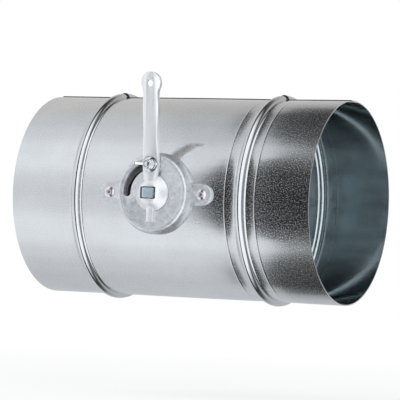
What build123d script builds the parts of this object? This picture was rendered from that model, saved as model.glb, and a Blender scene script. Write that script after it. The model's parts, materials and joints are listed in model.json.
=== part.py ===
from build123d import *
import math
import os

# A round air damper for 125 mm duct. A sheet-steel tube with two rolled beads holds a
# butterfly blade on a cross shaft. A cast lever on the shaft's front end turns the blade
# a quarter turn over a cast dial, and a wing nut clamps it in the dial's curved slot.
#
# Frame: the origin is the centre of the right spigot's end face. +X runs out of that end
# along the duct, +Z is up (the lever's closed position) and the dial faces -Y.
# Everything on the dial side is drawn in its own plane: x along the duct, y up and z
# outwards, with z = 0 on the duct's axis, and FRONT carries it to the front of the tube.

# Tube
duct_bore = 125.0          # inside diameter of the duct that each spigot slides into
duct_play = 0.4            # radial room between a spigot and that duct
sheet = 0.6                # tube wall
body_length = 200.0        # end face to end face
spigot_length = 40.5       # end face to the foot of its bead
bead_height = 2.8
bead_crest_radius = 3.0    # outside of the bead's crown
bead_foot_radius = 1.6     # hollow where the bead leaves the tube
lap_width = 8.0            # overlap of the lengthwise seam
lap_radius = 120.0         # flatter bend of the outer leaf, which lifts its free edge
lap_lead = 1.0             # part of the overlap on the dial's side of the top line

# Blade and its fixings
blade_gap = 0.75           # between the blade's edge and the seam inside the tube
blade_sheet = 1.0
blade_rib_radius = 49.0    # middle of the pressed stiffening ring
blade_rib_width = 6.0
blade_rib_height = 1.2
clip_offset = 30.0         # each saddle clip from the blade's middle
clip_width = 14.0
clip_sheet = 1.2
clip_half_span = 17.0
clip_rivet_offset = 11.5
clip_rivet_radius = 1.6
clip_rivet_head_radius = 3.0
clip_rivet_head_height = 1.1
channel_relief = 1.0       # blade cut away beyond the channel's round

# Shaft and bushes
shaft_radius = 5.0
tang_width = 8.0           # across the shaft's flat end, along the duct when closed
tang_height = 6.0
tang_corner = 0.8
tang_recess = 0.7          # shaft's end below the hub's face
end_chamfer = 0.6          # on the shaft's rear end
bush_play = 0.06           # radial running play
bush_wall = 1.5
bush_flange_radius = 9.0
bush_flange = 1.2
bush_reach = 2.7           # how far a bush stands into the tube
notch_room = 0.8           # between a bush and the blade's notch
hole_play = 0.1
washer_sheet = 1.0
washer_radius = 9.0
clip_ring_sheet = 0.9
clip_ring_radius = 8.2
clip_mouth = 7.1           # opening of the ring
clip_relief_radius = 1.5   # hollows for the pliers
clip_relief_offset = 0.9   # their centres outside the ring's inner edge
groove_depth = 0.8
shaft_end = 2.4            # shaft beyond the rear clip

# Dial
dial_height = 6.5          # rim above the tube's crown
dial_base_radius = 24.6
dial_top_radius = 22.9
dial_edge_radius = 1.8
dial_floor_radius = 20.4   # inside edge of the raised rim
dial_recess = 1.0
dial_floor = 2.6           # thickness of the slotted floor
dial_seat = 0.05           # between the dial and the tube
slot_radius = 17.0
slot_half_width = 2.4
slot_start = 90.0          # lever up, blade closed
slot_sweep = 90.0          # lever along the duct, blade open
guide_play = 0.2           # beside the clamp bolt's head
guide_wall = 1.2
guide_height = 2.0
tick_inner_radius = 18.4
tick_width = 0.7
tick_height = 0.3
tick_step = 15.0
ear_offset = 31.0          # rivet from the shaft, along the duct
ear_radius = 6.6
ear_thickness = 1.9
ear_root_radius = 3.0
ear_edge = 0.4
ear_tuck = 0.3             # the ears' round part inside the dish's side
rivet_radius = 1.6
rivet_head_radius = 3.25
rivet_head_height = 1.0
rivet_head_rim = 0.25
rivet_tail_radius = 2.3
rivet_tail_length = 2.4
stem_radius = 0.85
rivet_tail_end = 1.85
stem_depth = 0.7           # stem's broken end below the rivet's dome
stem_neck = 0.6            # stem below the tail
stem_ball = 1.4            # depth of the swollen end below the tail

# Lever
lever_play = 0.2           # between the lever and the dial's floor
lever_rise = 0.4           # lever's arm above the dial's rim
lever_thickness = 3.8
lever_face = 1.7           # wall left in front of the arm's hollow back
lever_rib = 1.4            # wall beside the hollow
hollow_start = 28.0        # from the shaft
lever_crown_radius = 14.0  # roundness of the arm's front
lever_tilt = 5.5           # degrees that the arm leans out, away from the tube
bend_start = 11.0          # where the lean begins, from the shaft
bend_radius = 80.0
lever_length = 72.1        # shaft to tip
head_radius = 6.4
head_hole_radius = 2.15
head_hole_drop = 6.7       # hole's centre below the tip
arm_half_width = 4.65
arm_middle = 40.0          # slimmest part of the arm, from the shaft
neck_half_width = 5.1
neck_offset = 53.0
pad_half_width = 5.0
pad_top = 2.6              # pad's face above the arm's underside
waist_half_width = 4.2
waist_offset = 10.5
band_half_width = 3.3      # arm's face where it runs into the hub
band_offset = 4.6
hub_base_radius = 11.0
hub_skirt = 0.6            # straight side under the hub's cone
hub_face_radius = 4.0
hub_height = 6.2
hub_shoulder_radius = 7.3
hub_shoulder = 1.5         # shoulder below the hub's face
hub_hole_width = 10.3
hub_hole_height = 7.3
hub_hole_corner = 0.9
tail_length = 17.4
tail_half_width = 2.0
tail_height = 2.6

# Clamp
bolt_radius = 2.0
bolt_head_flats = 7.0
bolt_head_height = 2.5
bolt_end_drop = 0.3        # bolt's end below the nut's front
bolt_chamfer = 0.4
bolt_play = 0.2            # shank in the lever and the washer
thread_play = 0.06         # nut on the shank
touch = 0.05               # between faces that bear on each other
clamp_washer_radius = 4.9
clamp_washer_sheet = 0.8
nut_base_radius = 4.0
nut_base_height = 0.8
nut_waist_radius = 3.4
nut_front_radius = 2.9
nut_front_edge = 0.6       # rounding of the nut's front
nut_body_height = 4.3
nut_height = 7.0
wing_span = 17.4
wing_thickness = 1.3
wing_tip_radius = 1.7
wing_root = 0.7            # wing's underside above the nut's base
wing_root_radius = 1.3

# Worked out from the sizes above
tube_radius = duct_bore / 2 - duct_play
tube_bore_radius = tube_radius - sheet
bead_half_width = math.sqrt((bead_crest_radius + bead_foot_radius) ** 2
                            - (bead_crest_radius + bead_foot_radius - bead_height) ** 2)
right_bead = -(spigot_length + bead_half_width)
left_bead = -body_length - right_bead
shaft_x = -body_length / 2
lap_lift = lap_width ** 2 / 2 * (1 / tube_radius - 1 / lap_radius)
lap_bore_radius = tube_radius + lap_lift - 2 * sheet
blade_radius = lap_bore_radius - blade_gap
bush_bore_radius = shaft_radius + bush_play
bush_radius = bush_bore_radius + bush_wall
rim_z = tube_radius + dial_height
floor_z = rim_z - dial_recess
under_z = floor_z - dial_floor
ear_z = tube_radius + ear_thickness
lever_z = rim_z + lever_rise
hub_z = floor_z + lever_play
hub_face_z = hub_z + hub_height
pad_z = lever_z + pad_top
bolt_head_z = under_z - touch
nut_z = pad_z + clamp_washer_sheet + 2 * touch
bolt_end_z = nut_z + nut_body_height - bolt_end_drop
guide_radius = slot_radius - bolt_head_flats / 2 - guide_play
cavity_radius = slot_radius + bolt_head_flats / 2 + guide_play
bush_flange_z = tube_radius + bush_flange
notch_half_width = bush_radius + notch_room
notch_y = tube_bore_radius - bush_reach - notch_room

FRONT = Plane(origin=(shaft_x, 0, 0), x_dir=(1, 0, 0), z_dir=(0, -1, 0))
REAR = Plane(origin=(shaft_x, 0, 0), x_dir=(-1, 0, 0), z_dir=(0, 1, 0))

os.makedirs("parts", exist_ok=True)


def save(name, shape):
    export_step(shape, f"parts/{name}.step")


def disc(radius, low, high, x=0.0, y=0.0):
    """A round plate or pin that stands along z, from low to high."""
    return Pos(x, y, low) * Cylinder(radius, high - low, align=(Align.CENTER, Align.CENTER, Align.MIN))


def ring(radius, hole, low, high, x=0.0, y=0.0):
    return disc(radius, low, high, x, y) - disc(hole, low - 1, high + 1, x, y)


def lathe(points):
    """Turns a closed outline of (radius, z) points about z."""
    outline = make_face(Polyline(*[(r, 0, z) for r, z in points], close=True))
    return revolve(outline, Axis.Z, 360)


def dome(radius, height, rim):
    """A rivet's round head: a short straight rim under a spherical crown."""
    rise = height - rim
    ball_radius = (radius ** 2 + rise ** 2) / (2 * rise)
    half_angle = math.asin(radius / ball_radius) / 2
    middle = (ball_radius * math.sin(half_angle), 0, height - ball_radius * (1 - math.cos(half_angle)))
    edge = (radius, 0, rim)
    crown = ThreePointArc(edge, middle, (0, 0, height))
    sides = Polyline((0, 0, height), (0, 0, 0), (radius, 0, 0), edge)
    return revolve(make_face([crown, sides]), Axis.Z, 360)


def tube_core(radius):
    """The duct's own round form, in the dial's plane, to seat things on it."""
    return Rot(0, 90, 0) * Cylinder(radius, 4 * dial_base_radius + 4 * ear_offset)


def arc_about(centre, start, end):
    """The short arc from start to end round centre, in the XZ plane."""
    a = Vector(*start) - Vector(*centre)
    b = Vector(*end) - Vector(*centre)
    middle = Vector(*centre) + (a + b).normalized() * a.length
    return ThreePointArc(start, (middle.X, 0, middle.Z), end)


def bead_line(bead_x, depth):
    """One bead's section at a depth below the tube's outside, from left to right."""
    both = bead_crest_radius + bead_foot_radius
    crest = (bead_x, 0, tube_radius + bead_height - bead_crest_radius)
    top = (bead_x, 0, tube_radius + bead_height - depth)
    edges = []
    for side in (-1, 1):
        foot = (bead_x + side * bead_half_width, 0, tube_radius + bead_foot_radius)
        start = (foot[0], 0, tube_radius - depth)
        share = (bead_foot_radius + depth) / both
        meet = (foot[0] + (crest[0] - foot[0]) * share, 0, foot[2] + (crest[2] - foot[2]) * share)
        half = [arc_about(foot, start, meet), arc_about(crest, meet, top)]
        if side == 1:
            half = [arc_about(crest, top, meet), arc_about(foot, meet, start)]
        edges += half
    return edges


def wall_line(depth):
    """The tube's section line at a depth below its outside, over its whole length."""
    z = tube_radius - depth
    edges = [Line((-body_length, 0, z), (left_bead - bead_half_width, 0, z))]
    edges += bead_line(left_bead, depth)
    edges += [Line((left_bead + bead_half_width, 0, z), (right_bead - bead_half_width, 0, z))]
    edges += bead_line(right_bead, depth)
    edges += [Line((right_bead + bead_half_width, 0, z), (0, 0, z))]
    return edges


def wall_section(outer_depth, inner_depth):
    edges = wall_line(outer_depth) + wall_line(inner_depth)
    for x in (-body_length, 0):
        edges.append(Line((x, 0, tube_radius - outer_depth), (x, 0, tube_radius - inner_depth)))
    return make_face(edges)


def duct_shell():
    """Rolled sheet with a pressed lap seam along the top and a bead behind each spigot."""
    sweep = math.degrees(lap_width / tube_radius)
    lead = math.degrees(lap_lead / tube_radius)
    shell = Rot(lead - sweep / 2, 0, 0) * revolve(wall_section(0, sheet), Axis.X, 360 - sweep / 2)
    leaf_axis = Axis((0, 0, tube_radius - lap_radius), (1, 0, 0))
    leaf = revolve(wall_section(0, 2 * sheet - lap_lift), leaf_axis, math.degrees(lap_width / lap_radius))
    shell += Rot(lead - sweep, 0, 0) * leaf
    for side in (FRONT, REAR):
        shell -= side * disc(bush_radius + hole_play, 0, tube_radius + bead_height)
    for x in (-ear_offset, ear_offset):
        shell -= FRONT * disc(rivet_radius + hole_play, 0, tube_radius + bead_height, x)
    return shell


def across(radius, length):
    """A round bar along Y through the shaft's axis."""
    return Pos(shaft_x, 0, 0) * Rot(90, 0, 0) * Cylinder(radius, length)


def plate_x(low, high, width, height, y=0.0, z=0.0):
    """A flat box between two distances from the shaft's axis, along X."""
    return Pos(shaft_x + (low + high) / 2, y, z) * Box(high - low, width, height)


def pin_x(radius, low, high, y, z):
    """A round pin along X, between two distances from the shaft's axis."""
    return Pos(shaft_x + low, y, z) * Rot(0, 90, 0) * disc(radius, 0, high - low)


def damper_blade():
    """A pressed disc: a half-round channel takes the shaft and a raised ring stiffens it."""
    half = blade_sheet / 2
    blade = pin_x(blade_radius, -half, half, 0, 0)
    rib_outer = blade_rib_radius + blade_rib_width / 2
    rib_inner = blade_rib_radius - blade_rib_width / 2
    slope = blade_rib_height
    rib = lathe([(rib_inner, 0), (rib_outer, 0), (rib_outer - slope, slope), (rib_inner + slope, slope)])
    to_blade = Pos(shaft_x, 0, 0) * Rot(0, 90, 0)
    blade += to_blade * Pos(0, 0, half) * rib
    blade -= to_blade * Pos(0, 0, -half) * rib
    channel_radius = bush_bore_radius + blade_sheet
    channel_length = 2 * notch_y
    gutter = across(channel_radius, channel_length)
    gutter -= plate_x(half, 2 * channel_radius, 2 * channel_length, 4 * channel_radius)
    blade -= plate_x(half, half + slope + channel_relief, channel_length + channel_relief, 2 * channel_radius)
    blade += gutter
    blade -= across(bush_bore_radius, 2 * blade_radius)
    for side in (-1, 1):
        depth = blade_radius
        blade -= plate_x(-2 * channel_radius, 2 * channel_radius, depth, 2 * notch_half_width,
                         side * (notch_y + depth / 2))
        for z in (-clip_rivet_offset, clip_rivet_offset):
            blade -= pin_x(clip_rivet_radius, -2 * blade_sheet, 2 * blade_sheet, side * clip_offset, z)
    return blade


def blade_clip(side):
    """A saddle that holds the shaft down in the blade's channel."""
    half = blade_sheet / 2
    y = side * clip_offset
    outer = bush_bore_radius + clip_sheet
    hoop = Pos(shaft_x, y, 0) * Rot(90, 0, 0) * Cylinder(outer, clip_width)
    hoop -= plate_x(-2 * outer, half, 2 * clip_width, 4 * outer, y)
    clip = hoop + plate_x(half, half + clip_sheet, clip_width, 2 * clip_half_span, y)
    clip -= across(bush_bore_radius, 2 * blade_radius)
    for z in (-clip_rivet_offset, clip_rivet_offset):
        clip -= pin_x(clip_rivet_radius, 0, 2 * outer, y, z)
    return clip


def blade_rivet(side, z):
    """A closed rivet through a saddle's flange and the blade."""
    half = blade_sheet / 2
    y = side * clip_offset
    top = half + clip_sheet
    shank = pin_x(clip_rivet_radius, -half, top, y, z)
    end = dome(clip_rivet_head_radius, clip_rivet_head_height, rivet_head_rim)
    head = Pos(shaft_x + top, y, z) * Rot(0, 90, 0) * end
    tail = Pos(shaft_x - half, y, z) * Rot(0, -90, 0) * end
    return shank + head + tail


def blade_shaft():
    """Round bar with a flat-sided front end and a groove for the rear clip."""
    rear_end = groove_z() + clip_ring_sheet + 2 * touch + shaft_end
    shoulder = floor_z + touch
    bar = REAR * disc(shaft_radius, 0, rear_end)
    bar = chamfer(bar.edges().group_by(Axis.Y)[-1], end_chamfer)
    bar += FRONT * disc(shaft_radius, 0, shoulder)
    tang_length = hub_face_z - tang_recess - shoulder
    tang = extrude(RectangleRounded(tang_width, tang_height, tang_corner), tang_length)
    bar += FRONT * Pos(0, 0, shoulder) * tang
    groove = ring(shaft_radius + 1, shaft_radius - groove_depth, 0, clip_ring_sheet + 2 * touch)
    bar -= REAR * Pos(0, 0, groove_z()) * groove
    return bar


def groove_z():
    """Distance of the rear clip's groove from the duct's axis."""
    return bush_flange_z + touch + washer_sheet + touch


def shaft_bush(sleeve_top):
    """Flanged nylon bush, its flange hollowed to sit on the round tube."""
    flange = disc(bush_flange_radius, 0, bush_flange_z) - tube_core(tube_radius + dial_seat)
    bush = flange + disc(bush_radius, tube_bore_radius - bush_reach, sleeve_top)
    return bush - disc(bush_bore_radius, 0, sleeve_top + 1)


def rear_clip():
    """Open retaining ring that snaps into the shaft's groove."""
    inner = shaft_radius - groove_depth + touch
    clip = ring(clip_ring_radius, inner, 0, clip_ring_sheet)
    mouth = Box(clip_mouth, 2 * clip_ring_radius, 2 * clip_ring_sheet)
    clip -= Pos(0, -clip_ring_radius, clip_ring_sheet / 2) * mouth
    relief = disc(clip_relief_radius, -clip_ring_sheet, 2 * clip_ring_sheet, inner + clip_relief_offset)
    for angle in (30, 150):
        clip -= Rot(0, 0, angle) * relief
    return clip


def arc_slot(radius, half_width, start, sweep, low, high):
    """A curved slot with round ends, as the solid that cuts it."""
    band = ring(radius + half_width, radius - half_width, low, high)
    reach = 3 * radius
    steps = max(2, math.ceil(sweep / 60))
    fan = [(0, 0)]
    for i in range(steps + 1):
        angle = math.radians(start + sweep * i / steps)
        fan.append((reach * math.cos(angle), reach * math.sin(angle)))
    wedge = Pos(0, 0, low) * extrude(make_face(Polyline(*fan, close=True)), high - low)
    slot = band & wedge
    for angle in (start, start + sweep):
        a = math.radians(angle)
        slot += disc(half_width, low, high, radius * math.cos(a), radius * math.sin(a))
    return slot


def dial_plate():
    """Cast dish with a slotted, recessed floor and two ears riveted to the tube."""
    low_z = tube_radius / 2
    middle = bush_radius + hole_play
    dish = lathe([(dial_base_radius, low_z), (dial_base_radius, ear_z), (dial_top_radius, rim_z),
                  (dial_floor_radius, rim_z), (dial_floor_radius, floor_z), (middle, floor_z),
                  (middle, under_z), (cavity_radius, under_z), (cavity_radius, low_z)])
    rim_edge = dish.edges().filter_by(GeomType.CIRCLE).group_by(Axis.Z)[-1].sort_by(SortBy.RADIUS)[-1]
    dish = fillet(rim_edge, dial_edge_radius)
    corners = Sketch() + Circle(dial_base_radius - ear_tuck)
    for side in (-1, 1):
        corners += Pos(side * ear_offset / 2, 0) * Rectangle(ear_offset, 2 * ear_radius)
        corners += Pos(side * ear_offset, 0) * Circle(ear_radius)
    roots = [v for v in corners.vertices() if abs(v.X) < dial_base_radius]
    corners = fillet(roots, ear_root_radius)
    ears = Pos(0, 0, low_z) * extrude(corners, ear_z - low_z)
    ears = chamfer(ears.edges().group_by(Axis.Z)[-1], ear_edge)
    ears -= disc((cavity_radius + dial_base_radius) / 2, 0, 2 * ear_z)
    dial = dish + ears
    dial += arc_slot(guide_radius - guide_wall / 2, guide_wall / 2, slot_start, slot_sweep,
                     under_z - guide_height, under_z + dial_floor / 2)
    dial -= tube_core(tube_radius + dial_seat)
    dial -= arc_slot(slot_radius, slot_half_width, slot_start, slot_sweep, under_z - dial_floor, 2 * rim_z)
    for side in (-1, 1):
        dial -= disc(rivet_radius + touch, 0, 2 * ear_z, side * ear_offset)
    tick_outer_radius = (dial_floor_radius + dial_top_radius) / 2
    tick = Box(tick_outer_radius - tick_inner_radius, tick_width, 2 * tick_height)
    tick = Pos((tick_inner_radius + tick_outer_radius) / 2, 0, floor_z) * tick
    for i in range(round(slot_sweep / tick_step) + 1):
        dial += Rot(0, 0, slot_start + 180 + i * tick_step) * tick
    return dial


def blind_rivet():
    """Set blind rivet with a domed head outside and a swollen tail inside the tube."""
    inside = tube_bore_radius - touch
    rivet = Pos(0, 0, ear_z + touch) * dome(rivet_head_radius, rivet_head_height, rivet_head_rim)
    rivet += disc(rivet_radius, inside - rivet_tail_length, ear_z + touch)
    tail = lathe([(0, -rivet_tail_length), (rivet_tail_end, -rivet_tail_length),
                  (rivet_tail_radius, -rivet_tail_length / 2), (rivet_tail_end, 0), (0, 0)])
    rivet += Pos(0, 0, inside) * tail
    return rivet - disc(stem_radius + touch, 0, 2 * ear_z)


def rivet_stem():
    """The part of the rivet's mandrel that stays in it, with its ball under the tail."""
    low = tube_bore_radius - touch - rivet_tail_length
    stem = disc(stem_radius, low - stem_neck, ear_z + touch + rivet_head_height - stem_depth)
    return stem + disc(rivet_radius, low - stem_ball, low - touch)


def lever_side(sign):
    """One side of the arm's outline, from the hub to the head."""
    reach = math.radians(-28)
    head_y = lever_length - head_radius
    points = [(sign * band_half_width, band_offset), (sign * waist_half_width, waist_offset),
              (sign * pad_half_width, slot_radius + 1), (sign * arm_half_width, arm_middle),
              (sign * neck_half_width, neck_offset),
              (sign * head_radius * math.cos(reach), head_y + head_radius * math.sin(reach))]
    end = (-sign * math.sin(reach), math.cos(reach))
    return Spline(*points, tangents=[(0, 1), end])


def lean_path(z):
    """A line up the arm at a height over the tube: level, then a bend, then leaning out."""
    tilt = math.radians(lever_tilt)
    bend_end = (0, bend_start + bend_radius * math.sin(tilt), z + bend_radius * (1 - math.cos(tilt)))
    half = tilt / 2
    middle = (0, bend_start + bend_radius * math.sin(half), z + bend_radius * (1 - math.cos(half)))
    tip = (0, bend_end[1] + lever_length * math.cos(tilt), bend_end[2] + lever_length * math.sin(tilt))
    level = Line((0, -lever_length, z), (0, bend_start, z))
    return [level, ThreePointArc((0, bend_start, z), middle, bend_end), Line(bend_end, tip)]


def leaning(y):
    """The plane on the arm's underside at a distance from the shaft, beyond the bend."""
    tilt = math.radians(lever_tilt)
    bend_end_y = bend_start + bend_radius * math.sin(tilt)
    z = lever_z + bend_radius * (1 - math.cos(tilt)) + (y - bend_end_y) * math.tan(tilt)
    return Plane(origin=(0, y, z), x_dir=(1, 0, 0), z_dir=(0, -math.sin(tilt), math.cos(tilt)))


def lever_hollow():
    """The hollow in the back of the arm and head, as the solid that cuts it."""
    head_y = lever_length - head_radius
    end_radius = arm_half_width - lever_rib
    ends = [Pos(0, y - arm_middle) * Circle(end_radius) for y in (hollow_start + end_radius, head_y)]
    plan = make_hull([*ends[0].edges(), *ends[1].edges()])
    plan += Pos(0, head_y - arm_middle) * Circle(head_radius - lever_rib)
    depth = lever_thickness - lever_face
    return leaning(arm_middle) * Pos(0, 0, -depth) * extrude(plan, 2 * depth)


def lever():
    """Cast lever: crowned arm, round head with a hanging hole, coned hub and pointer tail."""
    right = lever_side(1)
    left = lever_side(-1)
    tip = ThreePointArc(right @ 1, (0, lever_length), left @ 1)
    foot = Line(right @ 0, left @ 0)
    plan = extrude(make_face([right, left, tip, foot]), 2 * lever_z)
    under = lean_path(lever_z)
    over = Polyline(under[-1] @ 1, (0, 2 * lever_length, 2 * lever_z), (0, -lever_length, 2 * lever_z),
                    under[0] @ 0)
    above = extrude(make_face(under + [over]), lever_length, both=True)
    crown = lean_path(lever_z + lever_thickness - lever_crown_radius)
    section = Plane(origin=crown[0] @ 0, z_dir=(0, 1, 0)) * Circle(lever_crown_radius)
    arm = plan & above & sweep(section, Wire(crown))
    arm -= lever_hollow()
    arm -= disc(clamp_washer_radius + touch, pad_z, 2 * pad_z, 0, slot_radius)
    pad = disc(pad_half_width, hub_z, pad_z, 0, slot_radius)
    pad -= ring(2 * slot_radius, dial_floor_radius - lever_play, 0, lever_z)
    skirt_top = (hub_base_radius, 0, hub_z + hub_skirt)
    shoulder = (hub_shoulder_radius, 0, hub_face_z - hub_shoulder)
    face_edge = (hub_face_radius, 0, hub_face_z)
    side = Spline(skirt_top, shoulder, face_edge, tangents=[(-1, 0, 1), (-1, 0, 0)])
    rest = Polyline(face_edge, (0, 0, hub_face_z), (0, 0, hub_z), (hub_base_radius, 0, hub_z), skirt_top)
    hub = revolve(make_face([side, rest]), Axis.Z, 360)
    tail_top = hub_z + tail_height
    tail_side = Polyline((0, 0, hub_z), (0, -tail_length, hub_z), (0, -tail_length, tail_top),
                         (0, -hub_base_radius, tail_top), (0, 0, hub_face_z), close=True)
    tail = extrude(make_face(tail_side), tail_half_width, both=True)
    body = arm + pad + hub + tail
    hole = extrude(RectangleRounded(hub_hole_width, hub_hole_height, hub_hole_corner), 3 * hub_height)
    body -= Pos(0, 0, hub_z - hub_height) * hole
    body -= disc(bolt_radius + bolt_play, 0, 2 * lever_z, 0, slot_radius)
    head = leaning(lever_length - head_hole_drop)
    body -= head * disc(head_hole_radius, -lever_thickness, 2 * lever_thickness)
    return body


def clamp_bolt():
    """Hexagon-head bolt that hangs in the dial's slot and rises through the lever."""
    head = extrude(RegularPolygon(bolt_head_flats / 2, 6, major_radius=False), bolt_head_height)
    bolt = Pos(0, slot_radius, bolt_head_z - bolt_head_height) * head
    shank = disc(bolt_radius, bolt_head_z, bolt_end_z, 0, slot_radius)
    shank = chamfer(shank.edges().group_by(Axis.Z)[-1], bolt_chamfer)
    return bolt + shank


def clamp_washer():
    low = pad_z + touch
    return ring(clamp_washer_radius, bolt_radius + bolt_play, low, low + clamp_washer_sheet, 0, slot_radius)


def wing_nut():
    """Round coned body with two swept wings that stand out along the duct."""
    body = lathe([(0, 0), (nut_base_radius, 0), (nut_base_radius, nut_base_height),
                  (nut_waist_radius, nut_base_height), (nut_front_radius, nut_body_height),
                  (0, nut_body_height)])
    body = fillet(body.edges().group_by(Axis.Z)[-1], nut_front_edge)
    tip_x = wing_span / 2 - wing_tip_radius
    tip_z = nut_height - wing_tip_radius
    for side in (-1, 1):
        tip = Pos(side * tip_x, tip_z) * Circle(wing_tip_radius)
        root_x = nut_front_radius - wing_root_radius
        root = Pos(side * root_x, wing_root + wing_root_radius) * Circle(wing_root_radius)
        wing = make_hull([*tip.edges(), *root.edges()])
        body += Rot(90, 0, 0) * extrude(wing, wing_thickness / 2, both=True)
    return Pos(0, slot_radius, nut_z) * (body - disc(bolt_radius + thread_play, -1, nut_height + 1))


save("duct_shell", duct_shell())
save("damper_blade", damper_blade())
save("blade_shaft", blade_shaft())
for label, side in (("front", -1), ("rear", 1)):
    save(f"blade_clip_{label}", blade_clip(side))
    for level, z in (("lower", -clip_rivet_offset), ("upper", clip_rivet_offset)):
        save(f"blade_rivet_{label}_{level}", blade_rivet(side, z))
save("front_bush", FRONT * shaft_bush(floor_z - touch))
save("rear_bush", REAR * shaft_bush(bush_flange_z))
save("rear_washer", REAR * ring(washer_radius, shaft_radius + hole_play, bush_flange_z + touch,
                                bush_flange_z + touch + washer_sheet))
save("rear_clip", REAR * Pos(0, 0, groove_z() + touch) * rear_clip())
save("dial_plate", FRONT * dial_plate())
for label, x in (("left", -ear_offset), ("right", ear_offset)):
    save(f"dial_rivet_{label}", FRONT * Pos(x, 0, 0) * blind_rivet())
    save(f"rivet_stem_{label}", FRONT * Pos(x, 0, 0) * rivet_stem())
save("lever", FRONT * lever())
save("clamp_bolt", FRONT * clamp_bolt())
save("clamp_washer", FRONT * clamp_washer())
save("wing_nut", FRONT * wing_nut())
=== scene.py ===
"""Finishes, skins and stage for the round air damper, laid out as an add-on and run as a script."""

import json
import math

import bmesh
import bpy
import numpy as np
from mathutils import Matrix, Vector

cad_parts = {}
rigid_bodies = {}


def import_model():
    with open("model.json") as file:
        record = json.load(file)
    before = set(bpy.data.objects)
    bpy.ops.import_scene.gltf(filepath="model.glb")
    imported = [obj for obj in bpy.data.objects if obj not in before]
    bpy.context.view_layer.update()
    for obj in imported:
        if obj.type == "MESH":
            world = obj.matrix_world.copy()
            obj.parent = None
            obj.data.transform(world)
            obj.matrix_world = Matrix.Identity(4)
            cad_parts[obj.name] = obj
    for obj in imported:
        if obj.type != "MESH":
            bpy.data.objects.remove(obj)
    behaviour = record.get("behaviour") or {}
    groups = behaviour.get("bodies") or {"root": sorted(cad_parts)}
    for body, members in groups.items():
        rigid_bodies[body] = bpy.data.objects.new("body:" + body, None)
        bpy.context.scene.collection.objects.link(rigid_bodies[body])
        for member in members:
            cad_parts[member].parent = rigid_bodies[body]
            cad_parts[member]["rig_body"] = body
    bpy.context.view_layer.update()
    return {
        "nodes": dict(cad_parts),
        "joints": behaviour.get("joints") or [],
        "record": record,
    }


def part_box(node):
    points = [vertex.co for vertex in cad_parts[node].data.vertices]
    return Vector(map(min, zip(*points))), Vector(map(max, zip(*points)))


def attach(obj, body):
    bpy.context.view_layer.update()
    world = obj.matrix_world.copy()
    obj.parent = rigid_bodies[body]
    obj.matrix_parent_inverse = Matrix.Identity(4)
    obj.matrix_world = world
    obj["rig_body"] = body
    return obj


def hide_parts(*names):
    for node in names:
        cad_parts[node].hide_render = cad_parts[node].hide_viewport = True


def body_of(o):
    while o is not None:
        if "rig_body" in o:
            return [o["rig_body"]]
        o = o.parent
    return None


bl_info = {
    "name": "Round air damper",
    "version": (1, 0, 0),
    "blender": (4, 5, 0),
    "location": "3D View > Sidebar > Damper",
    "description": "Dresses the packed model of a round air damper and sets its stage",
    "category": "Object",
}

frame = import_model()

MM = 0.001
FULL_TURN = 2 * math.pi
TOUCHING = 1e-6  # nearer points become one

# Places and sizes taken from the frame
MOUNTS = {m["name"]: m for m in frame["record"]["mounts"]}
SHAFT = Vector(next(j for j in frame["joints"] if j["name"] == "blade_turn")["pos_m"])
TUBE_LOW, TUBE_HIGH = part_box("duct_shell")
TUBE_LENGTH = TUBE_HIGH[0] - TUBE_LOW[0]
TUBE_RADIUS = MOUNTS["right_spigot"]["dims"]["r_mm"] * MM
SPIGOT = MOUNTS["right_spigot"]["dims"]["length_mm"] * MM
BEAD_HEIGHT = TUBE_HIGH[1] - TUBE_RADIUS
DIAL_LOW, DIAL_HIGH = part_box("dial_plate")
DIAL_RADIUS = (DIAL_HIGH[2] - DIAL_LOW[2]) / 2
DIAL_RIM = DIAL_LOW[1]
RIVET_X = [(a[0] + b[0]) / 2 for a, b in (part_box("dial_rivet_left"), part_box("dial_rivet_right"))]

# Spans of a noise of 0 to 1 over which a finish changes
TONE_SPAN = (0.36, 0.64)  # from dark to light
SHEEN_SPAN = (0.3, 0.7)  # from bright to dull
FLECK_SPAN = (0.53, 0.61)  # from plain to flecked
SCRATCH_SPAN = (0.66, 0.72)  # from whole to scratched
CLOUD_SPAN = (0.35, 0.65)  # of nylon, from clear to milky

# What the masks of a metal do
SPECKLE_SHARE = 0.75  # of the grain's height, and streaks are the rest
FLECK_STRENGTH = 0.7
SCRATCH_TINT = (0.92, 0.93, 0.94)
SCRATCH_STRENGTH = 0.4
SCRATCH_ROUGHNESS = 0.12
SCRATCH_DEPTH = 0.25  # of the grain's
SCRATCH_TILT = 0.4  # of their turn
# Turn in radians and waves per metre of each family of scratches
SCRATCH_FAMILIES = ((0.5, (9.0, 900.0, 900.0)), (-0.9, (14.0, 700.0, 700.0)))
# Painted shade: the zinc under the dial is darkened, as the tent's light would show it too bright there
DIAL_SHADE_SHARE = 0.3  # of the zinc's colour is kept in the painted shade under the dial's slot
DIAL_SHADE_EDGE = 0.05  # of its radius is that painted shade's soft edge

# Degrees between faces up to which they are shaded as one
SHEET_ANGLE = 30
CAST_ANGLE = 32
TURNED_ANGLE = 35

# The tube's finishes, and their places among its material slots
TUBE_FINISHES = ("zinc_outside", "zinc_inside", "cut_edge", "seam_shadow")
OUTSIDE, INSIDE, RIM, SHADOW = range(len(TUBE_FINISHES))
SHADOW_COLUMNS = 2  # of faces before the overlap's free edge, in its shadow

# The tube's mesh
BEAD_STEPS = 9  # over a bead's foot, and over half its crown
MARK_ROWS = 4  # extra rings on each side of a roller's mark
SLOPE_REACH = 0.05 * MM  # on each side of a ring, to find the slope there
LAP_COLUMNS = 9  # over the overlap
DIP_STOPS = (0.25, 0.5, 0.75, 0.95, 1.0)  # shares of the dip's reach and depth
LIP_SHARE = 0.02  # of the dip's reach, for the free edge's own face

# How much the rollers have smoothed the zinc, from 0 to 1
MARK_SHINE = 0.6
FOOT_SHINE = 0.3
CROWN_SHINE = 1.0
FLANK_SHINE = 0.5

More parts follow.
